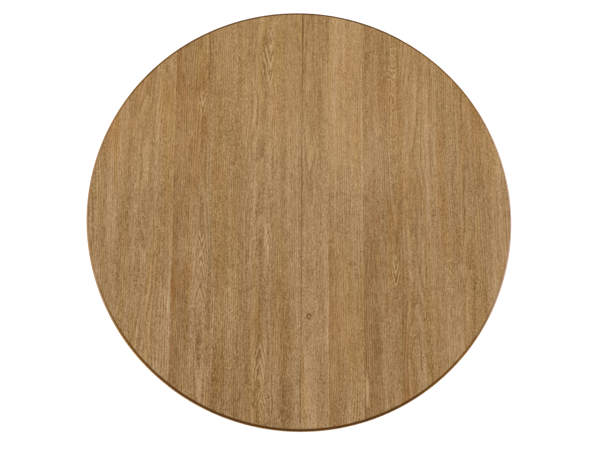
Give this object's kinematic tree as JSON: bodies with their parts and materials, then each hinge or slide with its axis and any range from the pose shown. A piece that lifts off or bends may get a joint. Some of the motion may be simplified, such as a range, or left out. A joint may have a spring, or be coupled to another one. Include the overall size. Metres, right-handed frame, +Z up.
{
  "type": "round pedestal table",
  "caption": "Round wooden pedestal table whose split top slides apart on geared slides, with a turned column and curved legs.",
  "frame": {"origin": "on the floor, under the middle of the top, which is also the column's axis", "axes": "+Z up; +Y along the seam and the boards, from front to rear; the halves open along X"},
  "size_m": [1.372, 1.372, 0.762],
  "materials": {
    "top_wood": "clear satin lacquer over stained oak boards",
    "base_wood": "clear satin lacquer over stained oak",
    "slide_wood": "unstained beech, waxed",
    "steel": "bright zinc plated",
    "screw_steel": "yellow zinc plated",
    "black_steel": "black powder coat",
    "nylon": "moulded, matt",
    "dark_nylon": "moulded, matt"
  },
  "bodies": {
    "pedestal": {"column": "base_wood", "column_cap": "base_wood", "bearer_left": "slide_wood", "bearer_right": "slide_wood", "tie_rod": "steel", "tie_rod_washers": "steel", "tie_rod_nuts": "steel", "lag_screws": "steel", "dowels": "slide_wood", "spider_plate": "black_steel", "spider_screws": "screw_steel", "glides": "dark_nylon", "glide_screws": "screw_steel", "leg_1": "base_wood", "leg_2": "base_wood", "leg_3": "base_wood", "leg_4": "base_wood", "front_centre_rail": "slide_wood", "rear_centre_rail": "slide_wood", "pinion_straps": "steel", "pinion_pins": "steel", "thrust_washers": "nylon", "centre_rail_screws": "screw_steel", "strap_screws": "screw_steel"},
    "left_half": {"top_boards_left": "top_wood", "apron_left": "base_wood", "glue_blocks_left": "slide_wood", "front_rail_left": "slide_wood", "front_rack_left": "nylon", "rear_rail_left": "slide_wood", "rear_rack_left": "nylon", "battens_left": "slide_wood", "wood_screws_left": "screw_steel", "small_screws_left": "screw_steel", "alignment_pins": "slide_wood", "front_lock_base": "steel", "rear_lock_base": "steel"},
    "right_half": {"top_boards_right": "top_wood", "apron_right": "base_wood", "glue_blocks_right": "slide_wood", "front_rail_right": "slide_wood", "front_rack_right": "nylon", "rear_rail_right": "slide_wood", "rear_rack_right": "nylon", "battens_right": "slide_wood", "wood_screws_right": "screw_steel", "small_screws_right": "screw_steel", "pin_bushes": "nylon", "front_lock_keeper": "steel", "rear_lock_keeper": "steel"},
    "front_pinion": {"front_pinion": "nylon"},
    "front_lock_lever": {"front_lock_lever": "steel"},
    "rear_pinion": {"rear_pinion": "nylon"},
    "rear_lock_lever": {"rear_lock_lever": "steel"}
  },
  "joints": [
    {"name": "right_half_slide", "type": "slide", "parent": "pedestal", "child": "right_half", "axis": [1, 0, 0], "range_m": [0, 0.235]},
    {"name": "left_half_slide", "type": "slide", "parent": "pedestal", "child": "left_half", "axis": [-1, 0, 0], "range_m": [0, 0.235]},
    {"name": "front_pinion_spin", "type": "hinge", "parent": "pedestal", "child": "front_pinion", "pos_m": [0, -0.175, 0.7195], "axis": [0, 0, 1], "range_deg": [0, 750.03]},
    {"name": "rear_pinion_spin", "type": "hinge", "parent": "pedestal", "child": "rear_pinion", "pos_m": [0, 0.175, 0.7195], "axis": [0, 0, 1], "range_deg": [0, 750.03]},
    {"name": "front_lock_swing", "type": "hinge", "parent": "left_half", "child": "front_lock_lever", "pos_m": [-0.034, -0.41, 0.727], "axis": [0, 0, 1], "range_deg": [0, 90]},
    {"name": "rear_lock_swing", "type": "hinge", "parent": "left_half", "child": "rear_lock_lever", "pos_m": [-0.034, 0.41, 0.727], "axis": [0, 0, -1], "range_deg": [0, 90]}
  ],
  "couplings": [
    {"joint": "left_half_slide", "follows": "right_half_slide", "ratio": 1},
    {"joint": "front_pinion_spin", "follows": "right_half_slide", "rad_per_m": 55.556},
    {"joint": "rear_pinion_spin", "follows": "right_half_slide", "rad_per_m": 55.556}
  ]
}
